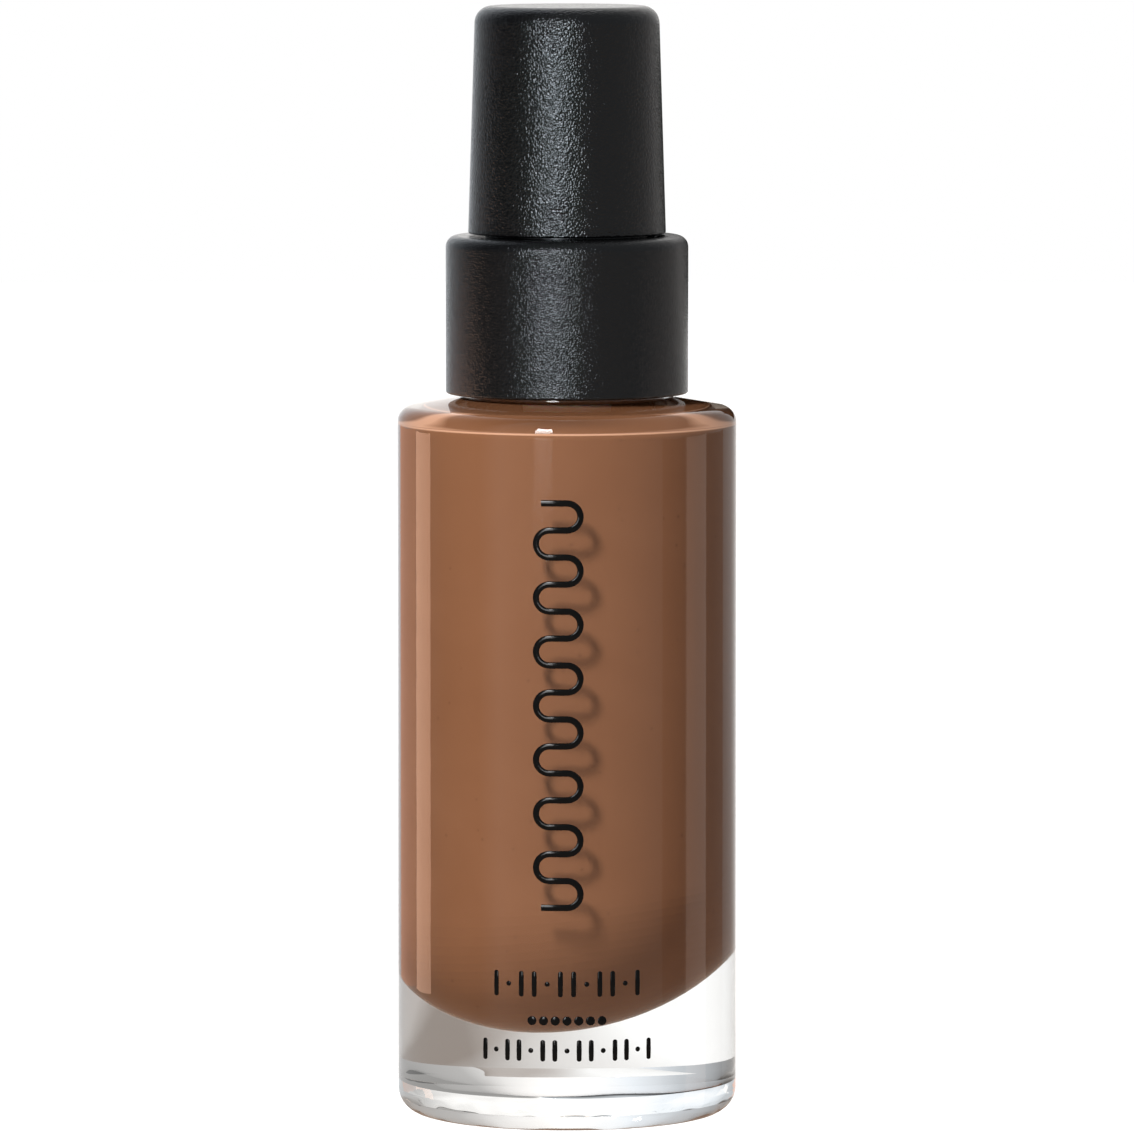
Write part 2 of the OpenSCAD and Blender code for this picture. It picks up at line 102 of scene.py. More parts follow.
def lathe(outline, closed=False, steps=256):
    """A bmesh from (radius, height, rounding) points in millimetres. A closed outline makes a ring."""
    bm = bmesh.new()
    points = [bm.verts.new((r * MM, 0, z * MM)) for r, z, _ in outline]
    chain = points + points[:1] if closed else points
    for start, end in zip(chain, chain[1:]):
        bm.edges.new((start, end))
    for point, (_, _, rounding) in zip(points, outline):
        if rounding:
            bmesh.ops.bevel(
                bm, geom=[point], offset=rounding * MM, offset_type="OFFSET", affect="VERTICES",
                segments=24 if rounding > 5 else 8, profile=0.5, material=-1,
            )
    for edge in bm.edges[:]:
        start, end = edge.verts
        share = 0.03 * MM / edge.calc_length()
        if share < 0.05:
            _, support = bmesh.utils.edge_split(edge, start, share)
            rest = next(e for e in end.link_edges if support in e.verts)
            bmesh.utils.edge_split(rest, end, share)
    bmesh.ops.spin(
        bm, geom=bm.verts[:] + bm.edges[:], cent=(0, 0, 0), axis=(0, 0, 1),
        angle=math.tau, steps=steps, use_merge=True,
    )
    bmesh.ops.remove_doubles(bm, verts=bm.verts, dist=1e-6)
    bmesh.ops.recalc_face_normals(bm, faces=bm.faces)
    return bm


# %% [markdown]
# ## Turning a mesh into a piece
#
# A piece is an object with a name, a material and a place in the mechanism: it rides on one body
# of the CAD model, so it moves when that body moves. Smooth shading hides the facets, and edges
# sharper than 40 degrees stay crisp.

# %% Helper: finish a piece


def make_piece(name, bm, material, body, stands_for=()):
    """Turns a bmesh into a shaded object that rides on a body and stands for CAD parts."""
    open_edges = sum(not e.is_manifold for e in bm.edges)
    for face in bm.faces:
        face.smooth = True
    mesh = bpy.data.meshes.new(name)
    bm.to_mesh(mesh)
    bm.free()
    mesh.set_sharp_from_angle(angle=math.radians(40))
    mesh.materials.append(material)
    piece = bpy.data.objects.new(name, mesh)
    bpy.context.scene.collection.objects.link(piece)
    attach(piece, body)
    if stands_for:
        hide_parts(*stands_for)
    print(name, "faces:", len(mesh.polygons), "open edges:", open_edges)
    return piece


# %% [markdown]
# ## Building materials in code
#
# A material is a small graph of nodes. This helper starts a material with one Principled shader and
# returns a function that adds further nodes. Constant values go on the shader's own sockets.

# %% Helper: start a material


def new_material(name, **sockets):
    """A material with a Principled shader, and a function that adds nodes to it."""
    material = bpy.data.materials.new(name)
    material.use_nodes = True
    tree = material.node_tree
    tree.nodes.clear()
    shader = tree.nodes.new("ShaderNodeBsdfPrincipled")
    output = tree.nodes.new("ShaderNodeOutputMaterial")
    tree.links.new(shader.outputs["BSDF"], output.inputs["Surface"])
    for socket, value in sockets.items():
        shader.inputs[socket.replace("_", " ")].default_value = value

    def add(kind, links=(), **settings):
        """Adds a node; settings go to its properties, links join (socket, source socket)."""
        node = tree.nodes.new("ShaderNode" + kind)
        for key, value in settings.items():
            setattr(node, key, value)
        for socket, source in links:
            if isinstance(source, bpy.types.NodeSocket):
                tree.links.new(source, node.inputs[socket])
            else:
                node.inputs[socket].default_value = source
        return node

    return material, shader, output, add


def link(source, target):
    """Joins two sockets of the same material."""
    target.node.id_data.links.new(source, target)


# %% [markdown]
# ## Clear glass
#
# Flint glass for cosmetics is nearly colourless and very smooth, with faint waves where the hot
# glass met the mould. Blender's glass is exact but dark in its own shadow, because light that is
# bent by glass rarely finds the lamp. The usual cure is used here: for shadow rays and for diffuse
# light the glass counts as see-through. So it does for light that has just been mirrored, which
# would otherwise bounce round inside the thick base until it is given up as black. What is seen by
# eye through the glass is real refraction. Round the heel the mould leaves stronger lumps, so a
# second bump sits on the first there and fades out above.

# %% Clear glass
clear_glass, shader, output, add = new_material(
    "clear_glass", Base_Color=(0.985, 0.99, 0.988, 1), Roughness=0.0, IOR=1.5,
    Transmission_Weight=1.0,
)
where = add("TexCoord").outputs["Object"]
waves = add("TexNoise", [("Vector", where), ("Scale", 140.0), ("Detail", 1.0)])
ripple = add("Bump", [("Strength", 0.05), ("Distance", 0.0002), ("Height", waves.outputs["Fac"])])
lumps = add("TexNoise", [("Vector", where), ("Scale", 190.0), ("Detail", 1.0)])
height = add("SeparateXYZ", [(0, where)]).outputs["Z"]
at_heel = add("MapRange", [("Value", height), ("From Min", 1.6 * MM), ("From Max", 3.4 * MM),
                           ("To Min", 1.0), ("To Max", 0.0)])
lumpy = add("Math", [(0, lumps.outputs["Fac"]), (1, at_heel.outputs["Result"])], operation="MULTIPLY")
heel = add("Bump", [("Strength", 1.0), ("Distance", 0.0009), ("Height", lumpy.outputs[0]),
                    ("Normal", ripple.outputs["Normal"])])
link(heel.outputs["Normal"], shader.inputs["Normal"])
path = add("LightPath")
clear = add("BsdfTransparent", [("Color", (0.97, 0.975, 0.972, 1))])
for_diffuse = add("MixShader", [(0, path.outputs["Is Diffuse Ray"]), (1, shader.outputs["BSDF"]),
                                (2, clear.outputs["BSDF"])])
for_mirrored = add("MixShader", [(0, path.outputs["Is Reflection Ray"]),
                                 (1, for_diffuse.outputs["Shader"]), (2, clear.outputs["BSDF"])])
for_shadow = add("MixShader", [(0, path.outputs["Is Shadow Ray"]), (1, for_mirrored.outputs["Shader"]),
                               (2, clear.outputs["BSDF"])])
link(for_shadow.outputs["Shader"], output.inputs["Surface"])

# %% [markdown]
# ## The liquid
#
# Foundation is pigment in water and oil: opaque, and one even colour with slow swirls. It wets the
# glass, so there is no air between the two, and its mesh reaches a hair into the glass. Glass and
# liquid bend light almost alike, which leaves hardly any shine where they meet: an IOR of 1.1 says
# so, and still lets the edge of the bowl mirror at a glancing angle. Tiny bubbles are darker dots.
# The rounded shoulder gathers light from above into a bright line on the liquid just below it,
# which is drawn here as a paler band.

# %% Foundation
foundation, shader, output, add = new_material(
    "foundation", Roughness=0.08, IOR=1.1,
)
where = add("TexCoord").outputs["Object"]
swirl = add("TexNoise", [("Vector", where), ("Scale", 60.0), ("Detail", 3.0), ("Distortion", 1.5)])
tone = add("ValToRGB", [("Fac", swirl.outputs["Fac"])])
tone.color_ramp.elements[0].position = 0.3
tone.color_ramp.elements[0].color = (0.166, 0.069, 0.032, 1)
tone.color_ramp.elements[1].position = 0.7
tone.color_ramp.elements[1].color = (0.180, 0.077, 0.037, 1)
cells = add("TexVoronoi", [("Vector", where), ("Scale", 420.0)])
bubble = add("MapRange", [("Value", cells.outputs["Distance"]), ("From Min", 0.05),
                          ("From Max", 0.09), ("To Min", 0.82), ("To Max", 1.0)])
speckled = add("MixRGB", [("Fac", 1.0), ("Color1", tone.outputs["Color"]),
                          ("Color2", bubble.outputs["Result"])], blend_type="MULTIPLY")
height = add("SeparateXYZ", [(0, where)]).outputs["Z"]
below_top = add("MapRange", [("Value", height), ("From Min", (shoulder_z - 2.0) * MM),
                             ("From Max", (shoulder_z - 1.7) * MM)])
bright_line = add("ValToRGB", [("Fac", below_top.outputs["Result"])])
band = [(0, 0), (0.3, 0.9), (0.6, 0.9), (0.85, 0)]
for _ in band[2:]:
    bright_line.color_ramp.elements.new(0.5)
for element, (level, value) in zip(bright_line.color_ramp.elements, band):
    element.position = level
    element.color = (value, value, value, 1)
colour = add("MixRGB", [("Fac", bright_line.outputs["Color"]), ("Color1", speckled.outputs["Color"]),
                        ("Color2", (0.50, 0.27, 0.17, 1))])
link(colour.outputs["Color"], shader.inputs["Base Color"])

# %% [markdown]
# ## Satin black
#
# The collar and the overcap are black plastic with a fine spark-eroded grain. The grain is far too
# small to model, but it breaks the highlight into sparkles, so it is a bump from a fine noise. The
# overcap's grain is coarser than the collar's, and the closure under them is smoother. The same few
# nodes make all three, so they are a function.

# %% Satin black


def satin_black(name, grain, depth, roughness):
    """Black plastic whose grain measures about grain millimetres."""
    material, shader, output, add = new_material(
        name, Base_Color=(0.0016, 0.0016, 0.0018, 1), Roughness=roughness, IOR=1.5,
        Specular_Tint=(0.84, 0.92, 1.0, 1),
    )
    where = add("TexCoord").outputs["Object"]
    grit = add("TexNoise", [("Vector", where), ("Scale", 1000 / grain), ("Detail", 0.5)])
    bump = add("Bump", [("Strength", 1.0), ("Distance", depth * MM), ("Height", grit.outputs["Fac"])])
    link(bump.outputs["Normal"], shader.inputs["Normal"])
    wear = add("TexNoise", [("Vector", where), ("Scale", 900.0), ("Detail", 4.0)])
    gloss = add("MapRange", [("Value", wear.outputs["Fac"]), ("From Min", 0.3), ("From Max", 0.7),
                             ("To Min", roughness - 0.03), ("To Max", roughness + 0.03)])
    link(gloss.outputs["Result"], shader.inputs["Roughness"])
    return material


black_collar = satin_black("black_collar", grain=0.14, depth=0.06, roughness=0.18)
black_overcap = satin_black("black_overcap", grain=0.175, depth=0.08, roughness=0.17)
black_closure = satin_black("black_closure", grain=0.6, depth=0.01, roughness=0.28)

# %% [markdown]
# ## Ink, and the materials of the pump
#
# The print is thick glossy black ink. The pump's parts are milky polypropylene, which lets a little
# light through. Its gasket is soft white foam with fine pores, and painted shade darkens the pits of
# the pores. Its spring and balls are bright stainless steel with the faint lines of drawn wire.

# %% Ink
ink, shader, output, add = new_material(
    "ink", Base_Color=(0.002, 0.002, 0.002, 1), Roughness=0.1, Specular_IOR_Level=0.15,
)
where = add("TexCoord").outputs["Object"]
mesh_marks = add("TexNoise", [("Vector", where), ("Scale", 5000.0)])
bump = add("Bump", [("Strength", 0.3), ("Distance", 0.00001), ("Height", mesh_marks.outputs["Fac"])])
link(bump.outputs["Normal"], shader.inputs["Normal"])

# %% Milky plastic
natural_plastic, shader, output, add = new_material(
    "natural_plastic", Roughness=0.38, Subsurface_Weight=0.5, Subsurface_Scale=0.001,
)
where = add("TexCoord").outputs["Object"]
flow = add("TexNoise", [("Vector", where), ("Scale", 300.0), ("Detail", 3.0)])
milk = add("ValToRGB", [("Fac", flow.outputs["Fac"])])
milk.color_ramp.elements[0].color = (0.78, 0.78, 0.75, 1)
milk.color_ramp.elements[1].color = (0.86, 0.86, 0.84, 1)
link(milk.outputs["Color"], shader.inputs["Base Color"])
skin = add("Bump", [("Strength", 0.4), ("Distance", 0.00003), ("Height", flow.outputs["Fac"])])
link(skin.outputs["Normal"], shader.inputs["Normal"])

# %% Gasket foam
gasket_foam, shader, output, add = new_material("gasket_foam", Roughness=0.9)
where = add("TexCoord").outputs["Object"]
pores = add("TexVoronoi", [("Vector", where), ("Scale", 6000.0)])
# Painted shade: the foam is darker in the pits of its pores.
foam = add("ValToRGB", [("Fac", pores.outputs["Distance"])])
foam.color_ramp.elements[0].color = (0.62, 0.62, 0.60, 1)
foam.color_ramp.elements[1].color = (0.84, 0.84, 0.82, 1)
link(foam.outputs["Color"], shader.inputs["Base Color"])
pits = add("Bump", [("Strength", 0.6), ("Distance", 0.00005), ("Height", pores.outputs["Distance"])])
link(pits.outputs["Normal"], shader.inputs["Normal"])

# %% Spring steel
spring_steel, shader, output, add = new_material(
    "spring_steel", Base_Color=(0.62, 0.62, 0.61, 1), Metallic=1.0,
)
where = add("TexCoord").outputs["Object"]
drawn = add("TexNoise", [("Vector", where), ("Scale", 4000.0), ("Detail", 2.0)])
gloss = add("MapRange", [("Value", drawn.outputs["Fac"]), ("To Min", 0.14), ("To Max", 0.3)])
link(gloss.outputs["Result"], shader.inputs["Roughness"])
lines = add("Bump", [("Strength", 0.2), ("Distance", 0.00001), ("Height", drawn.outputs["Fac"])])
link(lines.outputs["Normal"], shader.inputs["Normal"])

# %% [markdown]
# ## The glass bottle
#
# The outline starts at the middle of the underside, goes over the heel, up the wall, across the
# shoulder, over the bead and the lip, and comes back down inside to the bowl. On a real bottle
# the inner bowl is never quite level: here it is tipped, higher on the right, by moving the points
# of the inner wall up or down with their distance from the middle. The tip fades out higher up.
# The underside isn't flat either: a little noise gives it the slow waves of moulded glass, which
# break up what is reflected in the thick base.

# %% Glass outline
wall = 2.8
cavity_r = glass_r - wall
cavity_top = shoulder_z - 1.6
base_z = 8.6
bore_r = 6.3
glass_outline = [
    (0, 0.8, 0), (5.5, 0.8, 4.5), (11.0, 0, 0.5), (glass_r, 0, 2.5),
    (glass_r, shoulder_z - 0.25, 1.3), (10.3, shoulder_z + 0.75, 0.25), (10.3, shoulder_z + 1.7, 0.5),
    (8.7, shoulder_z + 1.7, 0.3), (8.7, lip_z, 0.5), (bore_r, lip_z, 0.5),
    (bore_r, cavity_top, 0.8), (cavity_r, cavity_top, 0.8), (cavity_r, base_z, cavity_r - 0.2),
    (0, base_z, 0),
]
glass = lathe(glass_outline, steps=320)

# %% Tip the inner bowl


TIP, TIP_FOOT, TIP_TOP, TIP_FADE = 0.14, 7, 30, 14


def tip_bowl(bm, inside_r):
    """Tips the bowl: points inside the glass move up on the right and down on the left."""
    for v in bm.verts:
        radius = math.hypot(v.co.x, v.co.y) / MM
        height = v.co.z / MM
        if radius < inside_r and TIP_FOOT < height < TIP_TOP:
            fade = min(1, max(0, (TIP_TOP - height) / TIP_FADE))
            v.co.z += TIP * v.co.x * fade * fade * (3 - 2 * fade)


tip_bowl(glass, cavity_r + 0.1)
print("bowl's lowest point:", round(min(v.co.z for v in glass.verts if 0.005 < v.co.z) / MM, 2), "mm")

# %% Wave the underside and the heel
hollow_r, heel_r = 10.8, 14.2
for v in glass.verts:
    radius = math.hypot(v.co.x, v.co.y) / MM
    if 0.05 * MM < v.co.z < 0.9 * MM and 1 < radius < hollow_r:
        v.co.z += 0.3 * MM * (noise.noise(v.co * 260) + 0.3)
    elif v.co.z < 2.4 * MM and radius > heel_r:
        v.co.xy *= 1 - 0.004 * abs(noise.noise(v.co * 300))
print("foot of the glass:", round(min(v.co.z for v in glass.verts) / MM, 3), "mm")

# %% [markdown]
# ## The thread on the neck
#
# The neck's screw thread is one ridge that climbs a turn and a half. It starts as a small
# trapezoid, and the spin operator carries it round and lifts it at every step. Both ends run out into
# the neck, as they do in a mould. The ridge is then joined to the glass with a Boolean.

# %% Thread ridge
PITCH = 3.175


def ridge(root_r, crest_r, start_z, turns, steps_per_turn=48):
    """A closed helical ridge between two radii, with ends that run out."""
    bm = bmesh.new()
    corners = [(root_r, -0.8), (crest_r, -0.4), (crest_r, 0.4), (root_r, 0.8)]
    profile = bm.faces.new([bm.verts.new((r * MM, 0, (start_z + z) * MM)) for r, z in corners])
    steps = int(turns * steps_per_turn)
    bmesh.ops.spin(
        bm, geom=[profile], cent=(0, 0, 0), axis=(0, 0, 1), angle=turns * math.tau, steps=steps,
        dvec=(0, 0, PITCH / steps_per_turn * MM), use_duplicate=False,
    )
    climb = turns * PITCH
    for v in bm.verts:
        middle = abs(math.hypot(v.co.x, v.co.y) / MM - crest_r) < 0.01
        height = v.co.z / MM - start_z
        from_end = min(height, climb - height)
        if middle and from_end < 0.45:
            pull = (root_r - crest_r) * (1 - max(0, (from_end + 0.4) / 0.85)) * 0.95
            out = Vector((v.co.x, v.co.y, 0)).normalized()
            v.co += out * pull * MM
    bmesh.ops.recalc_face_normals(bm, faces=bm.faces)
    return bm


def join(bm, other):
    """Joins two closed bmeshes with a Boolean modifier and returns the result."""
    meshes = []
    for part in (bm, other):
        mesh = bpy.data.meshes.new("part")
        part.to_mesh(mesh)
        part.free()
        meshes.append(bpy.data.objects.new("part", mesh))
        bpy.context.scene.collection.objects.link(meshes[-1])
    union = meshes[0].modifiers.new("join", "BOOLEAN")
    union.object, union.operation, union.solver = meshes[1], "UNION", "EXACT"
    joined = bmesh.new()
    joined.from_object(meshes[0], bpy.context.evaluated_depsgraph_get())
    for o in meshes:
        bpy.data.objects.remove(o)
    return joined


neck_thread = ridge(8.4, 9.75, 73.9, 1.5)
print("thread faces:", len(neck_thread.faces))

# %% Glass piece
glass = join(glass, neck_thread)
make_piece("glass_bottle_fine", glass, clear_glass, "bottle", ["glass_bottle"])

# %% [markdown]
# ## The liquid inside
#
# The liquid fills the bottle's inside up to the neck. Its outline follows the inner wall,
# a few hundredths of a millimetre into the glass, so that no thin film of air shines between them. On
# the axis it leaves a stepped channel for the pump and its dip tube.

# %% Liquid piece
INTO = 0.03
fill_z = shoulder_z + 2.0
fill_r = cavity_r + INTO
liquid = lathe([
    (0, base_z - INTO, 0), (fill_r, base_z - INTO, fill_r - 0.2), (fill_r, cavity_top + INTO, 0.8),
    (bore_r + INTO, cavity_top + INTO, 0.8), (bore_r + INTO, fill_z, 0), (4.9, fill_z, 0),
    (4.9, 61.4, 0), (2.7, 61.4, 0), (2.7, 56.8, 0), (1.8, 56.8, 0), (1.8, 9.4, 0), (0, 9.4, 0),
], steps=320)
tip_bowl(liquid, fill_r + 0.1)
make_piece("foundation_liquid", liquid, foundation, "bottle", ["foundation_fill"])

# %% [markdown]
# ## Collar and overcap
#
# Both are thin moulded shells. The collar is a straight ring whose top turns in over the closure.
# The overcap leans in a little towards its top, so that it leaves its mould. The edges that a
# thumb touches are well rounded, and their rounding is what catches the light.

# %% Collar
collar = lathe([
    (collar_r, collar_foot, 0.25), (collar_r, collar_top, 1.1), (7.99, collar_top, 0.15),
    (7.99, collar_top - 0.8, 0.1), (collar_r - 0.8, collar_top - 0.8, 0.6),
    (collar_r - 0.8, collar_foot, 0.2),
], closed=True)
make_piece("collar_fine", collar, black_collar, "closure", ["collar_shell"])

# %% Overcap
lean = math.tan(math.radians(1.77))
top_r = overcap_r - (overcap_top - overcap_foot) * lean
roof_z = overcap_top - 1.2
roof_r = overcap_r - (roof_z - overcap_foot) * lean - 1.0
overcap = lathe([
    (0, overcap_top, 0), (top_r, overcap_top, 1.6), (overcap_r, overcap_foot, 0.2),
    (overcap_r - 1.0, overcap_foot, 0.2), (roof_r, roof_z, 0.05), (0, roof_z, 0),
])
make_piece("overcap_fine", overcap, black_overcap, "overcap", ["overcap_shell"])

# %% [markdown]
# ## The print
#
# The front carries raised black ink. Instead of words it has a plain ornament: one line that winds
# down the bottle, and three small rows of bars and dots near the base. The line is a small ring that is
# extruded along each straight and spun round each bend. All of it is made flat, and then wrapped
# on the glass: the distance to the side becomes an angle round the bottle.

# %% Helper: wrap flat ink on the glass


def wrap(bm):
    """Bends ink that was made flat on the plane y = 0 round the front of the glass."""
    for v in bm.verts:
        angle = v.co.x / (glass_r * MM)
        radius = glass_r * MM - v.co.y
        v.co.x, v.co.y = radius * math.sin(angle), -radius * math.cos(angle)


# %% Winding line
LINE_W, INK_H = 0.62, 0.07
left, right, top, bends = -2.3, 2.0, 60.9, 15
rise = (top - 21.9) / bends
line = bmesh.new()
ring = bmesh.ops.create_circle(
    line, segments=16, radius=LINE_W / 2 * MM,
    matrix=Matrix.Translation(((left - 0.2) * MM, 0, top * MM)) @ Matrix.Rotation(math.pi / 2, 4, "Y"),
)
bmesh.ops.scale(line, verts=line.verts, vec=(1, INK_H * 2 / LINE_W, 1))
edges = line.edges[:]
for bend in range(bends + 1):
    side = 1 if bend % 2 == 0 else -1
    length = (right - left - rise) / 8 + (0.1 if bend in (0, bends) else 0)
    for _ in range(8):
        grown = bmesh.ops.extrude_edge_only(line, edges=edges)["geom"]
        edges = [g for g in grown if isinstance(g, bmesh.types.BMEdge) and g.is_boundary]
        moved = list({v for e in edges for v in e.verts})
        bmesh.ops.translate(line, verts=moved, vec=(side * length * MM, 0, 0))
    if bend == bends:
        break
    middle = sum((v.co for v in moved), Vector()) / len(moved)
    turned = bmesh.ops.spin(
        line, geom=edges, cent=middle - Vector((0, 0, rise / 2 * MM)), axis=(0, 1, 0),
        angle=side * math.pi, steps=14,
    )["geom_last"]
    edges = [g for g in turned if isinstance(g, bmesh.types.BMEdge)]
bmesh.ops.holes_fill(line, edges=[e for e in line.edges if e.is_boundary], sides=0)
print("line points:", len(line.verts))

# %% Bars and dots


def add_bar(bm, x, z, width, height):
    """Adds a pill-shaped bar, or a dot where its height equals its width."""
    made = bmesh.ops.create_uvsphere(bm, u_segments=16, v_segments=8, radius=0.5 * MM)["verts"]
    bmesh.ops.scale(bm, verts=made, vec=(width, INK_H * 2, width))
    for v in made:
        v.co.z += math.copysign((height - width) / 2 * MM, v.co.z) if abs(v.co.z) > 1e-7 else 0
    bmesh.ops.translate(bm, verts=made, vec=(x * MM, 0, z * MM))


rows = [(14.5, 2.5, 7.0, 12), (10.95, 0.9, 3.4, 7), (8.05, 2.1, 8.2, 15)]
for z, height, reach, count in rows:
    for i in range(count):
        x = -reach + 2 * reach * i / (count - 1)
        small = i % 3 == 1 and height > 1
        add_bar(line, x, z, 0.5 if height > 1 else 0.9, 0.5 if small else height)
wrap(line)
bmesh.ops.recalc_face_normals(line, faces=line.faces)
make_piece("front_print", line, ink, "bottle")

# %% [markdown]
# ## The return spring
#
# A compression spring is one round wire, and its first and last turns lie closed, so that it stands
# square. A section of the wire is spun round the axis and climbs a little at each step, slowly for
# the closed turns and faster in between. The real spring shortens as the pump is pressed.

# %% Return spring
wire, middle_turns, steps_per_turn = 0.5, 5, 40
spring_r, spring_foot, spring_top = span("return_spring")
spring_bm = bmesh.new()
section = bmesh.ops.create_circle(spring_bm, segments=12, radius=wire / 2 * MM)["verts"]
upright = Matrix.Rotation(math.radians(90), 4, "X")
start = Matrix.Translation(((spring_r - wire / 2) * MM, 0, (spring_foot + wire / 2) * MM))
bmesh.ops.transform(spring_bm, verts=section, matrix=start @ upright)
end_rise = wire * 1.04
middle_rise = (spring_top - spring_foot - wire - 2 * end_rise) / middle_turns
ring = spring_bm.verts[:] + spring_bm.edges[:]
for turns, rise in [(1, end_rise), (middle_turns, middle_rise), (1, end_rise)]:
    ring = bmesh.ops.spin(
        spring_bm, geom=ring, cent=(0, 0, 0), axis=(0, 0, 1),
        dvec=(0, 0, rise * MM / steps_per_turn),
        angle=math.tau * turns, steps=steps_per_turn * turns,
    )["geom_last"]
bmesh.ops.holes_fill(spring_bm, edges=[e for e in spring_bm.edges if e.is_boundary], sides=0)
bmesh.ops.recalc_face_normals(spring_bm, faces=spring_bm.faces)
spring = make_piece(
    "return_spring_fine", spring_bm, spring_steel, "pump", ["return_spring"],
)
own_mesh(spring)

# %% [markdown]
# ## Materials on the CAD parts
#
# The parts that stay as the CAD made them only need the right material. Each part names its slot in
# the record, so a table from slot to material is enough.

# %% Dress the CAD parts
finishes = {
    "clear_glass": clear_glass, "foundation": foundation, "black_collar": black_collar,
    "black_overcap": black_overcap, "black_closure": black_closure,
    "natural_plastic": natural_plastic, "gasket_foam": gasket_foam, "spring_steel": spring_steel,
}
for part in frame["record"]["subparts"]:
    node = frame["nodes"][part["node"]]
    node.data.materials.clear()
    node.data.materials.append(finishes[part["material_slot"]])

# %% [markdown]
# ## The floor
#
# A product shot stands on white. The floor is a pale disc that glows bright enough to blend with the
# white behind it. Mirror-like reflections skip it, as if it was a thin sheet over an open studio. The
# thick base bends the view like a lens and shows the floor behind the bottle, turned round. For every
# ray but the camera's the floor's glow is painted: on the left it is painted light for light that the
# glass bends onto the floor, and on the right a warm grey painted shadow of the bottle, which gives
# the glass its grey side on the left.

# %% Floor
floor_bm = bmesh.new()
floor_r = 1.4
bmesh.ops.create_circle(floor_bm, cap_ends=True, segments=96, radius=floor_r)
floor_mesh = bpy.data.meshes.new("floor")
floor_bm.to_mesh(floor_mesh)
floor_bm.free()
floor_white, shader, output, add = new_material(
    "floor_white", Base_Color=(0.3, 0.3, 0.3, 1), Roughness=0.9, Specular_IOR_Level=0.0,
    Emission_Strength=1.0,
)
across = add("SeparateXYZ", [(0, add("TexCoord").outputs["Object"])]).outputs["X"]
place = add("MapRange", [("Value", across), ("From Min", -0.012), ("From Max", 0.012)])
# Painted light and painted shadow: seen through the glass the floor glows pale on the left and a warm grey
# on the right, where the bottle's shadow falls.
painted_light_and_shadow = add("ValToRGB", [("Fac", place.outputs["Result"])])
painted_light_and_shadow.color_ramp.elements[0].color = (0.75, 0.75, 0.74, 1)
painted_light_and_shadow.color_ramp.elements[1].color = (0.20, 0.155, 0.125, 1)
glow = add("MixRGB", [("Fac", add("LightPath").outputs["Is Camera Ray"]),
                      ("Color1", painted_light_and_shadow.outputs["Color"]), ("Color2", (0.97, 0.97, 0.97, 1))])
link(glow.outputs["Color"], shader.inputs["Emission Color"])
floor_mesh.materials.append(floor_white)
floor = bpy.data.objects.new("floor", floor_mesh)
floor.visible_glossy = False
floor.location.z = -0.1 * MM
bpy.context.scene.collection.objects.link(floor)
print("floor is", 2 * floor_r, "m across")

# %% [markdown]
# ## Light
#
# Black plastic shows nothing but reflections, so the studio is drawn in the world: brightness by
# compass direction, bright behind the bottle and dim at the left, and warm grey steeply below. The
# camera itself sees plain white. One soft lamp high at the front left lights the liquid and throws
# the print's shadow on it. Reflections don't show this lamp: the highlight on the black parts comes
# from the cards in the next step.

# %% Studio world
world = bpy.data.worlds.new("studio")
bpy.context.scene.world = world
world.use_nodes = True
sky = world.node_tree
sky.nodes.clear()


def sky_node(kind, links=(), **settings):
    """Adds a node to the world."""
    node = sky.nodes.new("ShaderNode" + kind)
    for key, value in settings.items():
        setattr(node, key, value)
    for socket, source in links:
        if isinstance(source, bpy.types.NodeSocket):
            sky.links.new(source, node.inputs[socket])
        else:
            node.inputs[socket].default_value = source
    return node


direction = sky_node("SeparateXYZ", [(0, sky_node("TexCoord").outputs["Generated"])])
towards = sky_node("Math", [(0, direction.outputs["Y"]), (1, -1.0)], operation="MULTIPLY")
compass = sky_node("Math", [(0, direction.outputs["X"]), (1, towards.outputs[0])], operation="ARCTAN2")
turn = sky_node("MapRange", [("Value", compass.outputs[0]), ("From Min", -math.pi), ("From Max", math.pi)])
studio = sky_node("ValToRGB", [("Fac", turn.outputs["Result"])])
brightness = [
    (-180, 1.2), (-165, 1.0), (-151, 0.65), (-122, 0.30), (-107, 0.14), (-92, 0.06), (-76, 0.06),
    (-62, 0.06), (-47, 0.45), (-34, 0.35), (-20, 0.35), (0, 0.35), (24, 0.3), (62, 0.34), (92, 0.32),
    (127, 0.42), (151, 0.5), (165, 0.9), (180, 1.2),
]
ramp = studio.color_ramp
for _ in brightness[2:]:
    ramp.elements.new(0.5)
for element, (degrees, value) in zip(ramp.elements, brightness):
    element.position = (degrees + 180) / 360
    cool = 0.05 if -170 < degrees < -90 else -0.02
    element.color = (value * (1 - cool), value, value * (1 + cool), 1)
below = sky_node("MapRange", [("Value", direction.outputs["Z"]), ("From Min", -0.1), ("From Max", -0.2)])
ground = sky_node("MixRGB", [("Fac", below.outputs["Result"]), ("Color1", studio.outputs["Color"]),
                             ("Color2", (0.50, 0.40, 0.33, 1))])
around = sky_node("Background", [("Color", ground.outputs["Color"]), ("Strength", 1.0)])
plain = sky_node("Background", [("Color", (1, 1, 1, 1)), ("Strength", 1.0)])
seen = sky_node("MixShader", [(0, sky_node("LightPath").outputs["Is Camera Ray"]),
                              (1, around.outputs[0]), (2, plain.outputs[0])])
sky.links.new(seen.outputs[0], sky_node("OutputWorld").inputs["Surface"])
print("studio stops:", len(ramp.elements))

# %% Lamps


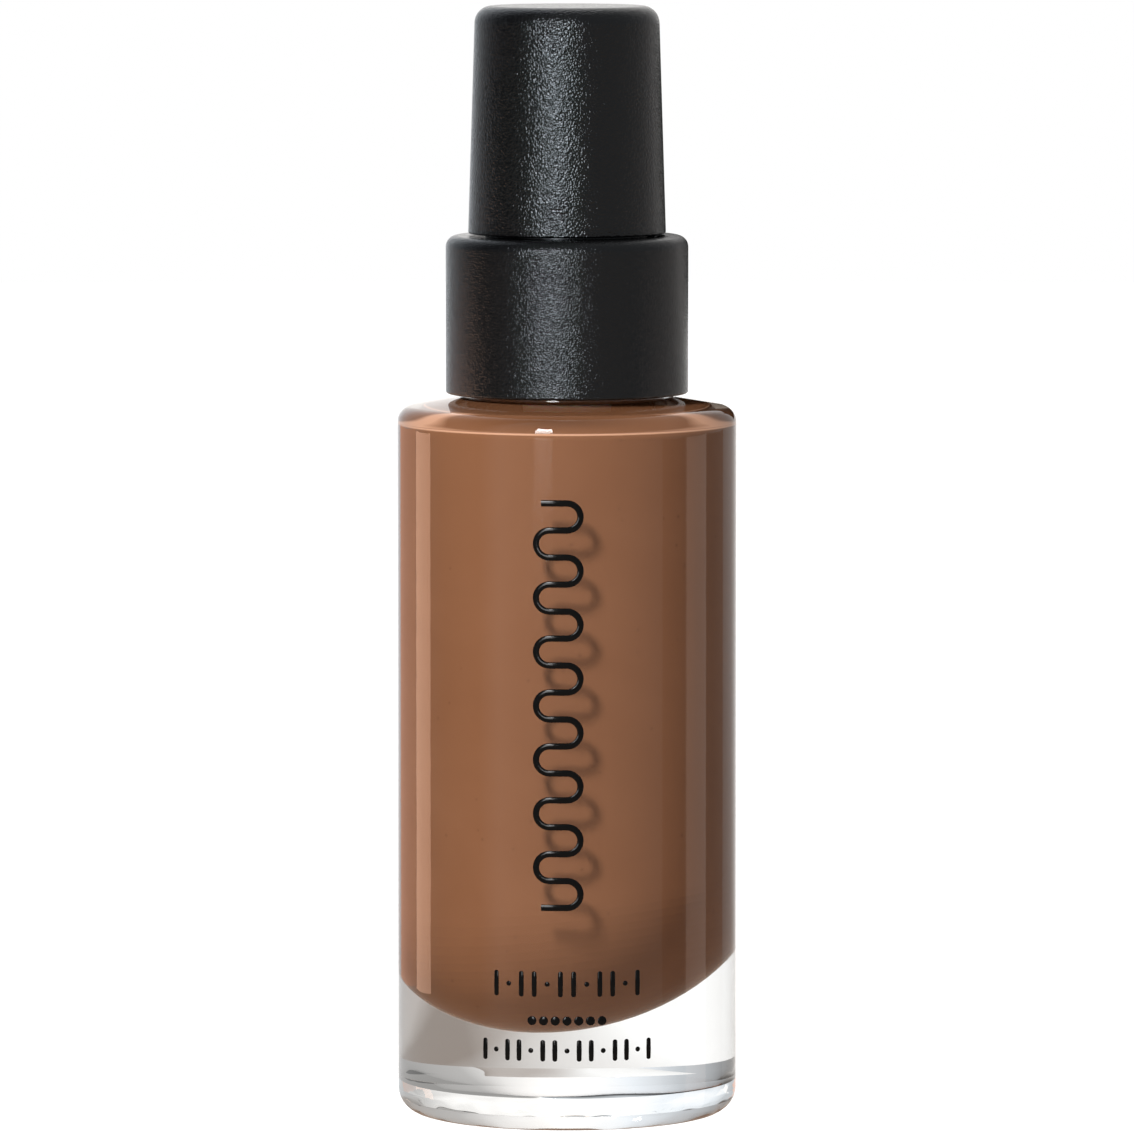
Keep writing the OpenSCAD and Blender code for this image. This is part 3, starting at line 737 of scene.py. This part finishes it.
def soft_lamp(name, azimuth, elevation, distance, width, height, power, aim_z):
    """A rectangular lamp; azimuth 0 is in front of the bottle and grows to the right."""
    a, e = math.radians(azimuth), math.radians(elevation)
    lamp = bpy.data.lights.new(name, "AREA")
    lamp.shape, lamp.size, lamp.size_y, lamp.energy = "RECTANGLE", width, height, power
    item = bpy.data.objects.new(name, lamp)
    towards = Vector((math.sin(a) * math.cos(e), -math.cos(a) * math.cos(e), math.sin(e)))
    item.location = Vector((0, 0, aim_z)) + towards * distance
    item.rotation_euler = towards.to_track_quat("Z", "Y").to_euler()
    item.visible_glossy = False
    bpy.context.scene.collection.objects.link(item)
    return item


key = soft_lamp("key", -25, 38, 0.7, 0.12, 0.14, 7.5, 0.07)
print("key lamp at", [round(c, 2) for c in key.location])

# %% [markdown]
# ## Reflector cards
#
# A photographer stands cards round a bottle: what a card looks like is what the gloss shows. A
# glowing sheet here is seen only in mirror-like reflections, so it draws a streak without lighting
# anything else. Its top and foot decide how high on the bottle the streak may reach.

# %% Cards


def card(name, azimuth, width, distance, foot, top, brightness, tint=(1, 1, 1)):
    """An upright sheet that only reflections see; azimuth and width are angles at the bottle."""
    bm = bmesh.new()
    half = distance * math.tan(math.radians(width / 2))
    corners = [(-half, 0, foot), (half, 0, foot), (half, 0, top), (-half, 0, top)]
    bm.faces.new([bm.verts.new(c) for c in corners])
    place = Matrix.Rotation(math.radians(azimuth), 4, "Z") @ Matrix.Translation((0, -distance, 0))
    bmesh.ops.transform(bm, verts=bm.verts, matrix=place)
    mesh = bpy.data.meshes.new(name)
    bm.to_mesh(mesh)
    bm.free()
    material, shader, output, add = new_material(
        name, Base_Color=(0, 0, 0, 1), Specular_IOR_Level=0.0, Emission_Color=(*tint, 1),
        Emission_Strength=brightness,
    )
    mesh.materials.append(material)
    sheet = bpy.data.objects.new(name, mesh)
    sheet.visible_camera = sheet.visible_diffuse = sheet.visible_transmission = False
    sheet.visible_shadow = False
    bpy.context.scene.collection.objects.link(sheet)


card("front_panel", -15.5, 12, 0.6, 0.030, 0.2, 14.0)
card("panel_top", -15.5, 10, 0.6, 0.2, 0.34, 38.0)
card("left_strip", -108, 17.4, 0.1, 0.0012, 0.0605, 2.9, (1, 0.63, 0.46))
card("left_edge", -133, 31, 0.1, 0.0012, 0.0605, 0.9, (1, 0.56, 0.42))
card("right_strip", 92.3, 19.4, 0.1, -0.03, 0.0605, 1.0, (1, 0.8, 0.7))
card("right_flag", 113.5, 22.3, 0.1, -0.03, 0.0605, 0.3, (1, 0.8, 0.7))
card("side_flag", 72.1, 18.4, 0.1, -0.03, 0.0605, 0.15)


def back_card(name, left, right, foot, top, distance):
    """A dark upright sheet behind the bottle, between two distances to the side."""
    card(name, 180, 10, distance, foot, top, 0.0)
    for v in bpy.data.objects[name].data.vertices:
        v.co.x = right if v.co.x > 0 else left


back_card("back_flag", 0.002, 0.058, 0.0715, 0.104, 0.1)
print("cards: 8")

# %% [markdown]
# ## Camera
#
# The camera stands a metre away, slightly above the bottle, with a long lens. A long lens keeps the
# sides of the bottle parallel, as in a catalogue.

# %% Camera
camera = bpy.data.cameras.new("camera")
camera.lens, camera.sensor_width = 327.0, 36.0
camera.clip_start, camera.clip_end = 0.05, 10.0
eye = bpy.data.objects.new("camera", camera)
eye.location = (0, -1.0, 0.1393)
look_down = 4.911
eye.rotation_euler = (math.radians(90 - look_down), 0, 0)
bpy.context.scene.collection.objects.link(eye)
bpy.context.scene.camera = eye
bpy.context.scene.view_settings.view_transform = "Standard"
print("camera looks down", look_down, "degrees")
